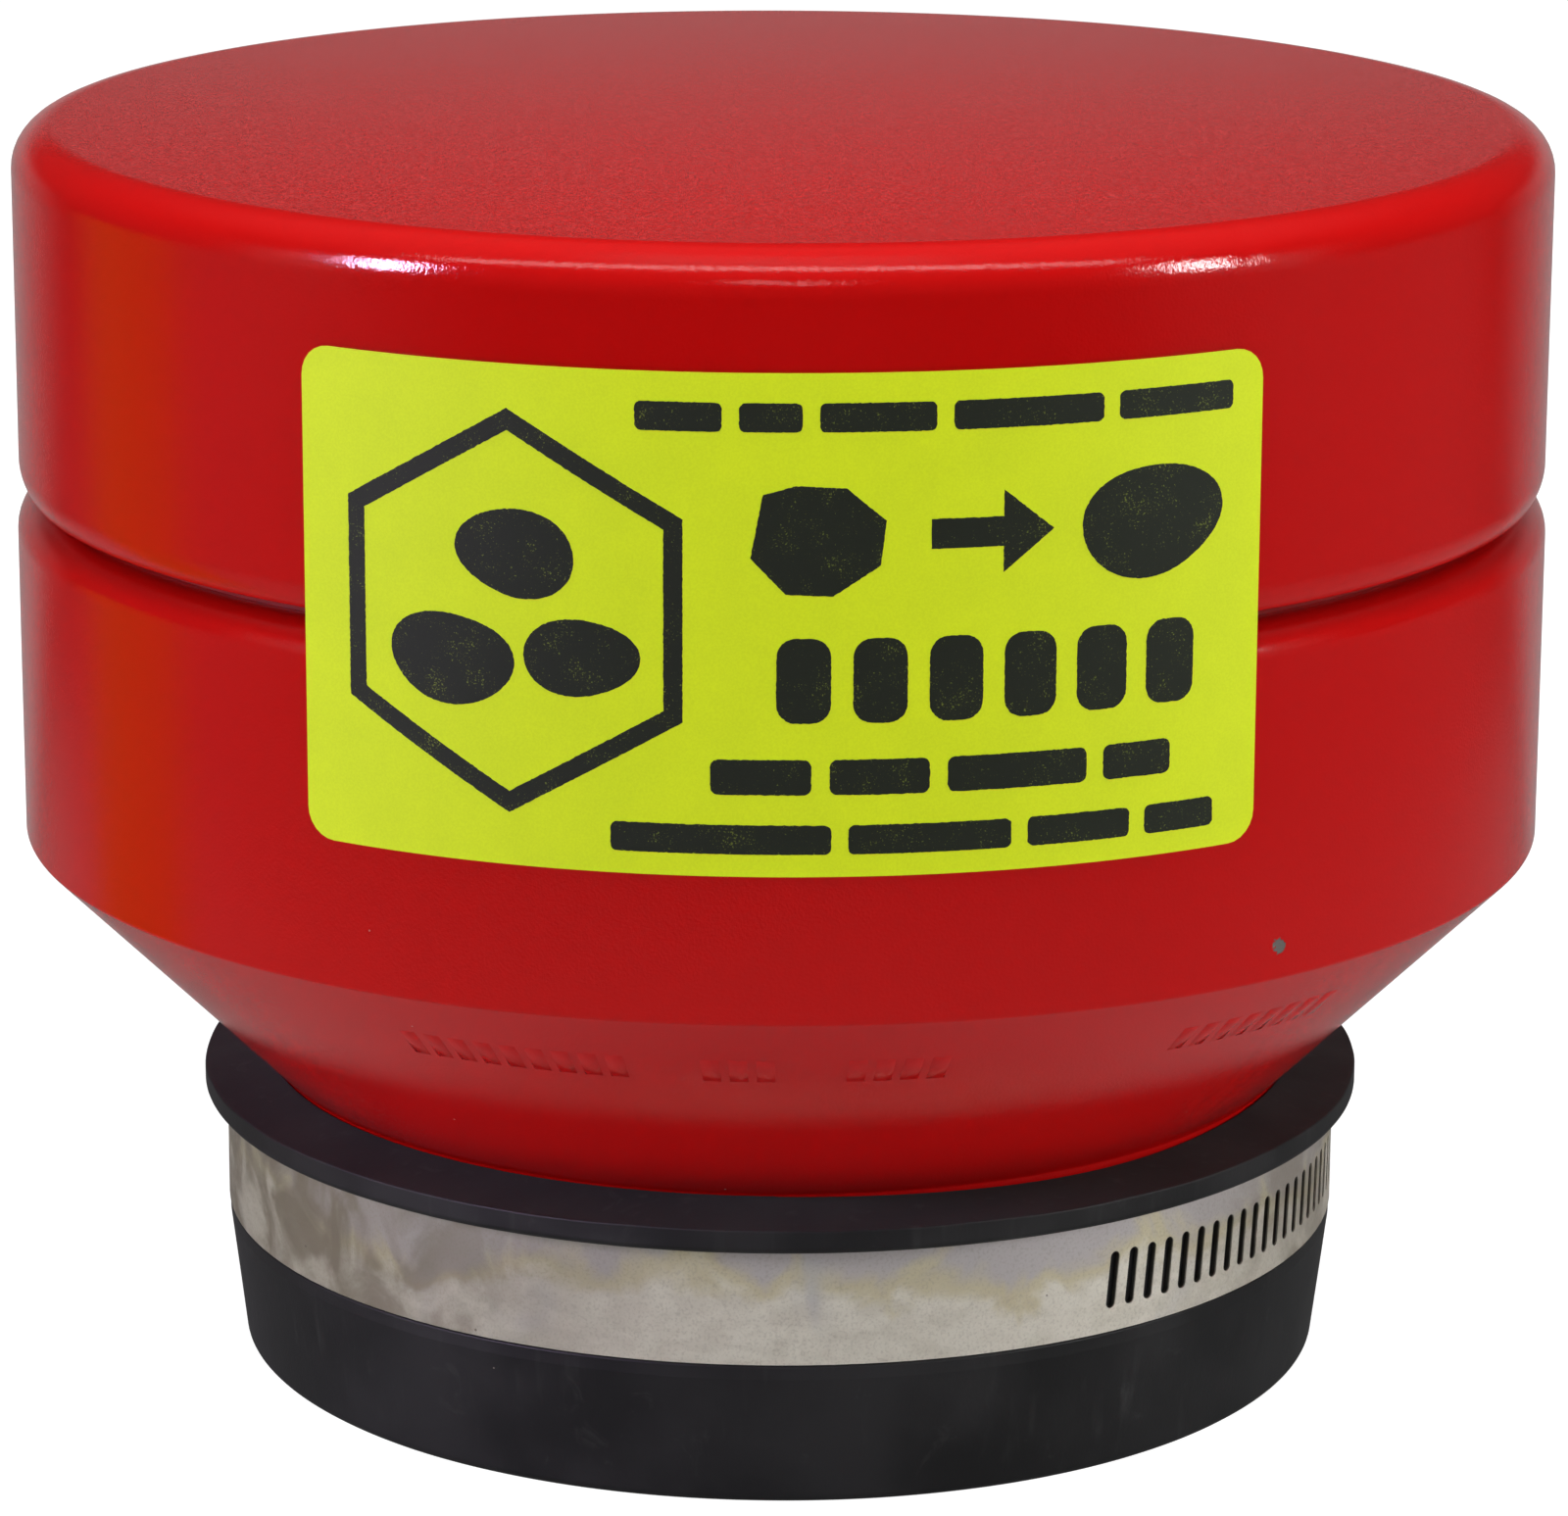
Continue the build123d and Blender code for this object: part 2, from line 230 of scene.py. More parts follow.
class Recipe:
    """The nodes of a material or a world, made one call at a time. place is the point in the
    object's own frame, or in a world the direction of view."""

    def __init__(self, owner, place="Object"):
        owner.use_nodes = True
        self.owner = owner
        self.tree = owner.node_tree
        self.place = self.node("TexCoord").outputs[place]

    def node(self, kind, **settings):
        made = self.tree.nodes.new("ShaderNode" + kind)
        for name, value in settings.items():
            setattr(made, name, value)
        return made

    def feed(self, socket, value):
        """Links a socket to another, or gives it a plain value."""
        if isinstance(value, bpy.types.NodeSocket):
            self.tree.links.new(value, socket)
        elif hasattr(value, "__len__") and socket.type == "RGBA":
            socket.default_value = (*value[:3], 1.0)
        else:
            socket.default_value = value

    def set(self, **values):
        """Feeds the surface's own sockets: Base_Color is the socket Base Color."""
        surface = self.tree.nodes["Principled BSDF"]
        for name, value in values.items():
            self.feed(surface.inputs[name.replace("_", " ")], value)

    def noise(self, size, detail=2.0, rough=0.5, warp=0.0, place=None):
        """Noise from 0 to 1, whose features are about size metres across."""
        made = self.node("TexNoise")
        self.feed(made.inputs["Vector"], place or self.place)
        self.feed(made.inputs["Scale"], 1 / size)
        self.feed(made.inputs["Detail"], detail)
        self.feed(made.inputs["Roughness"], rough)
        self.feed(made.inputs["Distortion"], warp)
        return made.outputs["Fac"]

    def cells(self, size):
        """Distance to the nearest of scattered points, size metres apart."""
        made = self.node("TexVoronoi")
        self.feed(made.inputs["Vector"], self.place)
        self.feed(made.inputs["Scale"], 1 / size)
        return made.outputs["Distance"]

    def specks(self, spacing, reach, patch, bareness, strength):
        """Scattered dots of one strength, in patches."""
        dots = self.maths("LESS_THAN", self.cells(spacing), reach)
        patches = self.maths("GREATER_THAN", self.noise(patch), bareness)
        return self.maths("MULTIPLY", self.maths("MULTIPLY", dots, patches), strength)

    def spread(self, value, low, high, to_low=0.0, to_high=1.0):
        """A value's range stretched to another, and held at its ends."""
        made = self.node("MapRange", interpolation_type="SMOOTHSTEP")
        for name, number in zip(("Value", "From Min", "From Max", "To Min", "To Max"),
                                (value, low, high, to_low, to_high)):
            self.feed(made.inputs[name], number)
        return made.outputs["Result"]

    def maths(self, operation, first, second=0.0):
        made = self.node("Math", operation=operation)
        self.feed(made.inputs[0], first)
        self.feed(made.inputs[1], second)
        return made.outputs[0]

    def mix(self, share, first, second, kind="RGBA"):
        """A colour, or with the kind FLOAT a number, between two."""
        made = self.node("Mix", data_type=kind)
        self.feed(made.inputs["Factor"], share)
        self.feed(made.inputs["A"], first)
        self.feed(made.inputs["B"], second)
        return made.outputs["Result"]

    def stretched(self, scale):
        """The place, in which a pattern is drawn out along each axis."""
        made = self.node("Mapping", vector_type="TEXTURE")
        self.feed(made.inputs["Vector"], self.place)
        made.inputs["Scale"].default_value = scale
        return made.outputs["Vector"]

    def axes(self):
        made = self.node("SeparateXYZ")
        self.feed(made.inputs[0], self.place)
        return made.outputs

    def radius(self):
        """Distance from the barrel's axis."""
        x, y, _ = self.axes()
        square = self.maths("ADD", self.maths("MULTIPLY", x, x), self.maths("MULTIPLY", y, y))
        return self.maths("SQRT", square)

    def distance(self, place):
        """Distance from one point."""
        made = self.node("VectorMath", operation="DISTANCE")
        self.feed(made.inputs[0], self.place)
        made.inputs[1].default_value = place
        return made.outputs["Value"]

    def shader(self, kind, *values):
        """A shader, its sockets fed in their order."""
        made = self.node(kind)
        for socket, value in zip(made.inputs, values):
            self.feed(socket, value)
        return made.outputs[0]

    def show(self, shader):
        """Makes a shader the surface, in place of the one that was there at first."""
        surface = self.tree.get_output_node("ALL").inputs["Surface"]
        self.tree.nodes.remove(surface.links[0].from_node)
        self.feed(surface, shader)

    def bump(self, height, distance, under=None):
        """Raises the surface by height times distance metres."""
        made = self.node("Bump")
        self.feed(made.inputs["Height"], height)
        self.feed(made.inputs["Distance"], distance)
        if under:
            self.feed(made.inputs["Normal"], under)
        return made.outputs["Normal"]


# --- Materials ----------------------------------------------------------------------------

RED = (0.46, 0.0033, 0.0031)
GROOVE_SHADE_RED = (0.26, 0.0020, 0.0030)  # red darkened as painted shade for the shadow down in the groove
DUST = (0.40, 0.33, 0.30)
CHIPPED = (0.13, 0.12, 0.11)
BARE_WHITE = (0.70, 0.69, 0.64)
BARE_DULL = (0.62, 0.60, 0.54)
BARE_SCUFFED = (0.34, 0.33, 0.30)
PIPE_DULL = (0.60, 0.58, 0.52)
LABEL_YELLOW = (0.68, 0.81, 0.008)
LABEL_SHADE = (0.61, 0.74, 0.010)
INK = (0.0150, 0.0185, 0.0110)
INK_MISSED = (0.30, 0.36, 0.03)
RUBBER_BLACK = (0.0095, 0.0095, 0.0102)
RUBBER_WORN = (0.0190, 0.0190, 0.0200)
RUBBER_SCUFFED = (0.042, 0.042, 0.043)

STEEL_CLEAN = (0.76, 0.73, 0.64)
STEEL_DULL = (0.66, 0.63, 0.54)
STEEL_YELLOWED = (0.56, 0.50, 0.30)
STEEL_STAINED = (0.50, 0.47, 0.47)
STEEL_BLUED = (0.48, 0.48, 0.50)
STEEL_DARKENED = (0.22, 0.19, 0.145)
STEEL_PITTED = (0.10, 0.08, 0.06)
# painted shade for the walls of the strap's slots
SHADE_IN_SLOTS = (0.015, 0.014, 0.012)

CHIP_AZIMUTH = math.radians(37.2)
CHIP_HEIGHT = 63.5 * MM
CHIP_DEPTH = 0.10 * MM


def red_paint():
    """Glossy spray paint: orange peel, dust nibs, and one small chip beside the cone."""
    paint = Recipe(bpy.data.materials.new("red_paint"))
    colour = paint.mix(paint.specks(5.0 * MM, 0.022, 9 * MM, 0.56, 0.6), RED, DUST)
    ragged = paint.maths("MULTIPLY", paint.noise(0.9 * MM, detail=3.0), 2.0 * MM)
    chip_place = around(REDUCER_RADIUS, CHIP_AZIMUTH, CHIP_HEIGHT)
    from_chip = paint.maths("ADD", paint.distance(chip_place), ragged)
    chip = paint.spread(from_chip, 1.75 * MM, 1.90 * MM, 1.0, 0.0)
    colour = paint.mix(chip, colour, CHIPPED)
    normal = paint.bump(paint.noise(6.0 * MM, detail=1.0), 0.003 * MM)
    normal = paint.bump(paint.noise(0.30 * MM), 0.028 * MM, under=normal)
    paint.set(
        Base_Color=colour,
        Roughness=paint.spread(paint.noise(12 * MM), 0.3, 0.7, 0.08, 0.10),
        Normal=paint.bump(chip, -CHIP_DEPTH, under=normal),
        IOR=1.5,
    )
    return paint.owner


def bare_plastic(name):
    """Moulded off-white plastic, scuffed by grit."""
    plastic = Recipe(bpy.data.materials.new(name))
    cloud = plastic.noise(15 * MM, detail=4.0)
    scuffs = plastic.noise(1.5 * MM, detail=3.0, place=plastic.stretched((1, 1, 0.15)))
    colour = plastic.mix(plastic.spread(cloud, 0.35, 0.7), BARE_WHITE, BARE_DULL)
    colour = plastic.mix(plastic.spread(scuffs, 0.62, 0.75, 0.0, 0.3), colour, BARE_SCUFFED)
    plastic.set(
        Base_Color=colour,
        Roughness=plastic.spread(scuffs, 0.35, 0.7, 0.38, 0.60),
        Normal=plastic.bump(plastic.noise(0.4 * MM), 0.008 * MM),
    )
    return plastic.owner


def pipe_plastic():
    """The pipe is bare inside. Where it shows in the groove it is painted red, darkened as painted
    shade for the groove's shadow.
    """
    pipe = Recipe(bpy.data.materials.new("pipe_wall"))
    painted = pipe.spread(pipe.radius(), PIPE_RADIUS - 1.0 * MM, PIPE_RADIUS - 0.3 * MM)
    cloud = pipe.noise(12 * MM, detail=4.0)
    bare = pipe.mix(pipe.spread(cloud, 0.35, 0.7), BARE_WHITE, PIPE_DULL)
    pipe.set(
        Base_Color=pipe.mix(painted, bare, GROOVE_SHADE_RED),
        Roughness=pipe.spread(cloud, 0.3, 0.7, 0.55, 0.70),
        Normal=pipe.bump(pipe.noise(0.6 * MM), 0.010 * MM),
    )
    return pipe.owner


def label_paper():
    """Matt coated paper, slightly uneven in colour."""
    paper = Recipe(bpy.data.materials.new("label_paper"))
    speck = paper.noise(0.22 * MM)
    cloud = paper.noise(7 * MM, detail=3.0)
    shade = paper.maths("ADD", paper.spread(speck, 0.3, 0.7, 0.0, 0.55),
                        paper.spread(cloud, 0.3, 0.7, 0.0, 0.35))
    paper.set(
        Base_Color=paper.mix(shade, LABEL_YELLOW, LABEL_SHADE),
        Roughness=paper.spread(speck, 0.3, 0.7, 0.50, 0.62),
        Normal=paper.bump(speck, 0.004 * MM),
        Specular_IOR_Level=0.20,
    )
    return paper.owner


def label_ink():
    """Dark ribbon ink that missed the paper here and there."""
    ink = Recipe(bpy.data.materials.new("label_ink"))
    speck = ink.noise(0.20 * MM, detail=3.0, rough=0.6)
    patch = ink.noise(3.0 * MM)
    missed = ink.maths("ADD", speck, ink.maths("MULTIPLY", patch, 0.35))
    bare = ink.spread(missed, 0.80, 0.90, 0.0, 0.55)
    ink.set(
        Base_Color=ink.mix(bare, INK, INK_MISSED),
        Roughness=ink.spread(speck, 0.3, 0.7, 0.42, 0.56),
        Specular_IOR_Level=0.30,
    )
    return ink.owner


def black_rubber():
    """Satin moulded rubber: faint flow streaks, scuffs and dust. The rim's cut top is duller."""
    rubber = Recipe(bpy.data.materials.new("black_rubber"))
    cloud = rubber.noise(16 * MM, detail=4.0)
    streaks = rubber.noise(2.2 * MM, detail=3.0, place=rubber.stretched((1.0, 1.0, 7.0)))
    grain = rubber.noise(0.35 * MM)
    rubs = rubber.noise(5.0 * MM, detail=5.0, rough=0.65, warp=1.0)
    colour = rubber.mix(rubber.spread(cloud, 0.35, 0.68), RUBBER_BLACK, RUBBER_WORN)
    colour = rubber.mix(rubber.spread(streaks, 0.58, 0.8, 0.0, 0.4), colour, RUBBER_SCUFFED)
    colour = rubber.mix(rubber.spread(rubs, 0.60, 0.72, 0.0, 0.35), colour, RUBBER_SCUFFED)
    colour = rubber.mix(rubber.specks(3.6 * MM, 0.032, 8 * MM, 0.54, 0.5), colour, DUST)
    cut = rubber.spread(rubber.axes()[2], LID_RIM_TOP - 0.1 * MM, LID_RIM_TOP + 0.1 * MM)
    colour = rubber.mix(rubber.maths("MULTIPLY", cut, 0.15), colour, RUBBER_SCUFFED)
    moulded = rubber.spread(cloud, 0.3, 0.7, 0.50, 0.62)
    normal = rubber.bump(streaks, 0.020 * MM)
    rubber.set(
        Base_Color=colour,
        Roughness=rubber.mix(cut, moulded, 0.85, "FLOAT"),
        Normal=rubber.bump(grain, 0.012 * MM, under=normal),
        Specular_IOR_Level=0.35,
    )
    return rubber.owner


def slot_wall_shade(steel):
    """Painted shade: 1 on the walls of the strap's slots, which are darkened for the shade in them,
    0 on its face and its two edges.
    """
    face = SEAT_RADIUS + STRAP_GAP + STRAP_THICKNESS
    below_face = steel.spread(steel.radius(), face - 0.25 * MM, face - 0.10 * MM, 0.9, 0.0)
    from_middle = steel.maths("SUBTRACT", steel.axes()[2], SLOT_MIDDLE)
    in_slots = steel.maths("LESS_THAN", steel.maths("ABSOLUTE", from_middle), SLOT_LENGTH * 0.6)
    return steel.maths("MULTIPLY", below_face, in_slots)


def hanging_stains(steel, wander):
    """The stains that hang down from the strip's top edge, and their fringe."""
    reach = steel.noise(30.0 * MM, detail=1.0)
    wavering = steel.maths("ADD", steel.maths("MULTIPLY", wander, 1.3),
                           steel.maths("MULTIPLY", reach, 1.5))
    level = steel.maths("ADD", steel.spread(steel.axes()[2], band_low.z, band_high.z), wavering)
    return steel.spread(level, 2.12, 2.42), steel.spread(level, 1.90, 2.18, 0.0, 0.75)


def left_side_darkening(steel, wander):
    """Dark patches from the strip's middle to its left, and fainter ones at its right."""
    x = steel.axes()[0]
    sides = steel.maths("MAXIMUM", steel.spread(x, -50 * MM, 0.0, 1.0, 0.0),
                        steel.spread(x, 38 * MM, 56 * MM, 0.0, 0.75))
    return steel.maths("MULTIPLY", sides, steel.spread(wander, 0.35, 0.62, 0.52, 0.98))


def stained_steel():
    """Rolled stainless strip. Heat and water stains hang down from its top edge, yellow at
    their fringe, over a clean lower part. Its left front is darker than the rest."""
    steel = Recipe(bpy.data.materials.new("stained_steel"))
    wander = steel.noise(8.0 * MM, detail=4.0, warp=0.8)
    stain, fringe = hanging_stains(steel, wander)
    patch = steel.noise(17.0 * MM, detail=3.0, warp=0.5, place=steel.stretched((0.8, 0.8, 1.6)))
    rubbed = steel.noise(2.2 * MM, detail=4.0, warp=0.5, place=steel.stretched((2.0, 2.0, 1.0)))
    lines = steel.noise(0.5 * MM, detail=3.0, place=steel.stretched((28.0, 28.0, 0.5)))
    colour = steel.mix(steel.spread(rubbed, 0.35, 0.68), STEEL_CLEAN, STEEL_DULL)
    colour = steel.mix(fringe, colour, STEEL_YELLOWED)
    colour = steel.mix(stain, colour, STEEL_STAINED)
    colour = steel.mix(steel.spread(patch, 0.56, 0.72, 0.0, 0.7), colour, STEEL_BLUED)
    colour = steel.mix(left_side_darkening(steel, wander), colour, STEEL_DARKENED)
    mottle = steel.spread(steel.noise(0.30 * MM), 0.45, 0.75, 0.0, 0.25)
    colour = steel.mix(mottle, colour, STEEL_DARKENED)
    colour = steel.mix(steel.specks(3.4 * MM, 0.045, 6 * MM, 0.57, 0.7), colour, STEEL_PITTED)
    steel.set(
        # the slots' walls are darkened here: painted shade
        Base_Color=steel.mix(slot_wall_shade(steel), colour, SHADE_IN_SLOTS),
        Roughness=steel.spread(rubbed, 0.3, 0.7, 0.40, 0.54),
        Normal=steel.bump(rubbed, 0.004 * MM, under=steel.bump(lines, 0.003 * MM)),
        Metallic=0.35,
    )
    return steel.owner


def pressed_steel(name, colour, dull, line_size):
    """Bright stainless with drawing lines, for the clamp's small pieces."""
    steel = Recipe(bpy.data.materials.new(name))
    lines = steel.noise(line_size, detail=3.0, place=steel.stretched((6.0, 6.0, 1.0)))
    cloud = steel.noise(3.0 * MM, detail=3.0)
    steel.set(
        Base_Color=steel.mix(steel.spread(cloud, 0.35, 0.7), colour, [c * 0.72 for c in colour]),
        Roughness=steel.spread(lines, 0.3, 0.7, dull, dull + 0.14),
        Normal=steel.bump(lines, 0.004 * MM),
        Metallic=0.95,
    )
    return steel.owner


paint = red_paint()
inside_plastic = bare_plastic("inside_plastic")
lifter_plastic = bare_plastic("lifter_plastic")
paper = label_paper()
ink = label_ink()
rubber = black_rubber()

CAD_MATERIALS = {
    "drum_pipe": pipe_plastic(),
    "clamp_band": stained_steel(),
    "clamp_housing": pressed_steel("housing_steel", (0.58, 0.57, 0.53), 0.28, 0.35 * MM),
    "clamp_saddle": pressed_steel("saddle_steel", (0.52, 0.51, 0.47), 0.34, 0.35 * MM),
    "clamp_screw": pressed_steel("screw_steel", (0.62, 0.62, 0.60), 0.24, 0.25 * MM),
}
LIFTERS = 4
for number in range(1, LIFTERS + 1):
    CAD_MATERIALS[f"lifter_bar_{number}"] = lifter_plastic
for node, material in CAD_MATERIALS.items():
    for material_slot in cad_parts[node].material_slots:
        material_slot.material = material


# --- Drum ---------------------------------------------------------------------------------

NICK_AZIMUTH = math.radians(33.5)
NICK_WIDTH = 0.9 * MM
NICK_DEPTH = 0.16 * MM
WALL_WAVE = 0.035 * MM


def waved(place, azimuth):
    """Moulded walls are never quite true: a slow wave of a few hundredths of a millimetre."""
    return place + around(1, azimuth, 0) * WALL_WAVE * smooth_noise(place, 24 * MM, 3.0)


def cap_shape(place, azimuth):
    """The wave, and the nick in the crown's round."""
    moved = waved(place, azimuth)
    along = (azimuth - NICK_AZIMUTH) * CAP_RADIUS
    if place.z > CAP_TOP - CROWN_ROUND and abs(along) < 4 * NICK_WIDTH:
        rim = math.exp(-((place.xy.length - CAP_RADIUS + CROWN_ROUND / 3) / (CROWN_ROUND / 2)) ** 2)
        moved.z -= NICK_DEPTH * rim * math.exp(-(along / NICK_WIDTH) ** 2)
    return moved


def make_cap():
    """The cap of the wide end, painted outside and bare inside."""
    crown_underside = CAP_TOP - CROWN_THICKNESS
    corners = [
        (0, crown_underside, 0),
        (SOCKET_RADIUS, crown_underside, 0),
        (SOCKET_RADIUS, CAP_BOTTOM, 0),
        (CAP_RADIUS - LIP_INSET, CAP_BOTTOM, LIP_BREAK),
        (CAP_RADIUS, CAP_BOTTOM + LIP_DROP, LIP_ROUND),
        (CAP_RADIUS, CAP_TOP, CROWN_ROUND),
        (0, CAP_TOP, 0),
    ]
    vertices, faces = turned(outline(corners, closed=False), False, cap_shape)
    cap = new_piece("cap_shell", vertices, faces, paint, "barrel", ["end_cap"])

    def is_inside(place):
        return (place.xy.length < SOCKET_RADIUS + CEMENT_GAP
                and place.z < crown_underside + MM)

    paint_inside(cap, inside_plastic, is_inside)


def make_reducer():
    """Socket, cone and hub in one, painted outside and bare inside."""
    inner_cone_top = LEDGE_TOP + (PIPE_BORE - LEDGE_RADIUS)
    corners = [
        (HUB_BORE, HUB_END, RIM_BREAK),
        (HUB_RADIUS - HUB_CHAMFER, HUB_END, 0),
        (HUB_RADIUS, HUB_END + HUB_CHAMFER, 0),
        (HUB_RADIUS, HUB_TOP, RIM_BREAK),
        (REDUCER_RADIUS, CONE_TOP, CONE_EDGE_ROUND),
        (REDUCER_RADIUS, GROOVE_BOTTOM, SHOULDER_ROUND),
        (SOCKET_RADIUS, GROOVE_BOTTOM, 0),
        (SOCKET_RADIUS, PIPE_STOP, 0),
        (PIPE_BORE, PIPE_STOP, RIM_BREAK),
        (PIPE_BORE, inner_cone_top, RIM_BREAK),
        (LEDGE_RADIUS, LEDGE_TOP, 0),
        (LEDGE_RADIUS, LEDGE_BOTTOM, 0),
        (HUB_BORE, LEDGE_BOTTOM, 0),
    ]
    vertices, faces = turned(outline(corners, closed=True), True, waved)
    reducer = new_piece("reducer_shell", vertices, faces, paint, "barrel", ["reducer"])
    middle_slope = (PIPE_BORE + REDUCER_RADIUS) / 2 - CONE_TOP

    def is_inside(place):
        radius = place.xy.length
        wall_middle = min(SOCKET_RADIUS + CEMENT_GAP, place.z + middle_slope)
        return radius < HUB_BORE + RIM_BREAK or (place.z > HUB_TOP and radius < wall_middle)

    paint_inside(reducer, inside_plastic, is_inside)


MARK_RADIUS = 77.2 * MM  # of the middle of the line of marks on the cone
MARK_LENGTH = 4.6 * MM  # along the slope
MARK_WIDTH = 1.9 * MM
MARK_PITCH = 2.8 * MM
MARK_RELIEF = 0.14 * MM
MARK_BURIED = 0.10 * MM
MARK_GROUPS = ((-29.0, 9), (-5.2, 3), (5.8, 4), (32.5, 8))  # first azimuth in degrees, marks


def cone_point(along, up, height, azimuth):
    """A point over the cone: along its parallel, up its slope, height off its surface."""
    slope = math.sqrt(0.5)
    radius = MARK_RADIUS + up * slope + height * slope
    level = CONE_TOP - REDUCER_RADIUS + MARK_RADIUS + up * slope - height * slope
    return around(radius, azimuth + along / MARK_RADIUS, level)


def make_mould_marks():
    """Rows of low plain bars, where a fitting has its maker's raised marks."""
    vertices, faces = [], []
    inset = 0.3 * MM
    for first, count in MARK_GROUPS:
        for k in range(count):
            azimuth = math.radians(first) + k * MARK_PITCH / MARK_RADIUS
            start = len(vertices)
            for height, shrink in ((-MARK_BURIED, 0), (0, 0), (MARK_RELIEF, inset)):
                side, end = MARK_WIDTH / 2 - shrink, MARK_LENGTH / 2 - shrink
                for along, up in ((-side, -end), (side, -end), (side, end), (-side, end)):
                    vertices.append(cone_point(along, up, height, azimuth))
            for level in (start, start + 4):
                for i in range(4):
                    after = (i + 1) % 4
                    faces.append((level + i, level + after, level + 4 + after, level + 4 + i))
            faces.append((start + 3, start + 2, start + 1, start))
            faces.append((start + 8, start + 9, start + 10, start + 11))
    new_piece("mould_marks", vertices, faces, paint, "barrel")


make_cap()
make_reducer()
make_mould_marks()


# --- Label --------------------------------------------------------------------------------

def label_point(u, v, height):
    """A point over the label's surface: u to the right of its middle, v up, height outwards."""
    radius = LABEL_OUTSIDE + height
    return around(radius, u / LABEL_OUTSIDE, LABEL_MIDDLE + v)


def box_points(u, v, width, height, corner):
    """A rectangle with rounded corners, counter-clockwise from the lower right."""
    steps = 6
    points = []
    for right, up, first in ((1, -1, -90), (1, 1, 0), (-1, 1, 90), (-1, -1, 180)):
        centre = Vector((u + right * (width / 2 - corner), v + up * (height / 2 - corner)))
        for k in range(steps + 1):
            a = math.radians(first + 90 * k / steps)
            points.append(centre + corner * Vector((math.cos(a), math.sin(a))))
    return points


RAGGED = 0.07 * MM
RAGGED_STEP = 0.25 * MM
RAGGED_SIZE = 0.35 * MM


def roughened(points, seed):
    """An outline cut into short steps and jittered, as a printer's ribbon leaves it."""
    rough = []
    for i, start in enumerate(points):
        end = points[(i + 1) % len(points)]
        count = max(1, round((end - start).length / RAGGED_STEP))
        for k in range(count):
            place = start.lerp(end, k / count)
            shift = Vector((smooth_noise(place.to_3d(), RAGGED_SIZE, seed),
                            smooth_noise(place.to_3d(), RAGGED_SIZE, seed + 7)))
            rough.append(place + shift * RAGGED)
    return rough


def filled(shapes):
    """A flat mesh of shapes. A shape is a list of closed outlines, of which the later ones are
    holes."""
    flat = bmesh.new()
    for loops in shapes:
        edges = []
        for loop in loops:
            corners = [flat.verts.new((p.x, p.y, 0)) for p in loop]
            edges += [flat.edges.new(ends) for ends in zip(corners, corners[1:] + corners[:1])]
        bmesh.ops.triangle_fill(flat, use_beauty=True, edges=edges)
    return flat


def cut_into_strips(flat):
    """Cuts a flat mesh upright so that it can follow the drum's curve, and faces it up."""
    strip = 2.0 * MM
    most = math.ceil(LABEL_WIDTH / 2 / strip)
    for k in range(-most, most + 1):
        everything = flat.verts[:] + flat.edges[:] + flat.faces[:]
        bmesh.ops.bisect_plane(flat, geom=everything, dist=1e-7, plane_co=(k * strip, 0, 0),
                               plane_no=(1, 0, 0))
    bmesh.ops.recalc_face_normals(flat, faces=flat.faces[:])
    for face in flat.faces:
        if face.normal.z < 0:
            face.normal_flip()


def flat_piece(name, shapes, low, high, material, replaced=()):
    """A thin piece on the label's surface, from low to high over it."""
    solid = filled(shapes)
    cut_into_strips(solid)
    raised = bmesh.ops.extrude_face_region(solid, geom=solid.faces[:])["geom"]
    top = {v for v in raised if isinstance(v, bmesh.types.BMVert)}
    for vertex in solid.verts:
        height = high if vertex in top else low
        vertex.co = label_point(vertex.co.x, vertex.co.y, height)
    bmesh.ops.recalc_face_normals(solid, faces=solid.faces[:])
    mesh = bpy.data.meshes.new(name)
    solid.to_mesh(mesh)
    solid.free()
    finished(mesh, material, 35, "barrel", replaced)


INK_HEIGHT = 0.02 * MM
INK_SUNK = -0.01 * MM
BAR_CORNER = 0.22  # of a bar's height


def printed(name, shapes, seed):
    """A piece of ink on the label."""
    rough = [[roughened(loop, seed) for loop in loops] for loops in shapes]
    flat_piece(name, rough, INK_SUNK, INK_HEIGHT, ink)


def hexagon(u, v, radius, width):
    """A hexagonal frame, width wide."""
    sides = 6
    inner = radius - width / math.cos(math.pi / sides)
    turns = [math.pi / sides + 2 * math.pi * k / sides for k in range(sides)]
    return [[Vector((u + reach * math.cos(a), v + reach * math.sin(a))) for a in turns]
            for reach in (radius, inner)]


def oval_point(u, v, width, height, turn, reach):
    """A point of an oval at a turn from its right, in radians, and reach times as far out."""
    return Vector((u + math.cos(turn) * width / 2 * reach,
                   v + math.sin(turn) * height / 2 * reach))


def rough_stone(u, v, width, height, seed):
    """A broken stone: a closed outline of a few flat faces."""
    draw = random.Random(seed)
    sides = 8
    corners = []
    for k in range(sides):
        turn = 2 * math.pi * (k + 0.55 * draw.random()) / sides
        corners.append(oval_point(u, v, width, height, turn, 1 - 0.20 * draw.random()))
    return corners


def pebble(u, v, width, height, seed):
    """A tumbled stone: a smooth and slightly uneven oval."""
    draw = random.Random(seed)
    bulge, nose = 2 * math.pi * draw.random(), 2 * math.pi * draw.random()
    steps = 72
    points = []
    for k in range(steps):
        turn = 2 * math.pi * k / steps
        reach = 1 + 0.05 * math.cos(2 * turn + bulge) + 0.035 * math.cos(3 * turn + nose)
        points.append(oval_point(u, v, width, height, turn, reach))
    return points


def arrow(u, v, length, shaft, head):
    """A straight arrow to the right."""
    left, right = u - length / 2, u + length / 2
    neck = right - head
    return [Vector(p) for p in (
        (left, v - shaft / 2), (neck, v - shaft / 2), (neck, v - head * 0.8), (right, v),
        (neck, v + head * 0.8), (neck, v + shaft / 2), (left, v + shaft / 2))]


def word_bars(left, v, height, widths, gap):
    """A line of plain bars."""
    shapes, place = [], left
    for width in widths:
        shapes.append([box_points(place + width / 2, v, width, height, height * BAR_CORNER)])
        place += width + gap
    return shapes


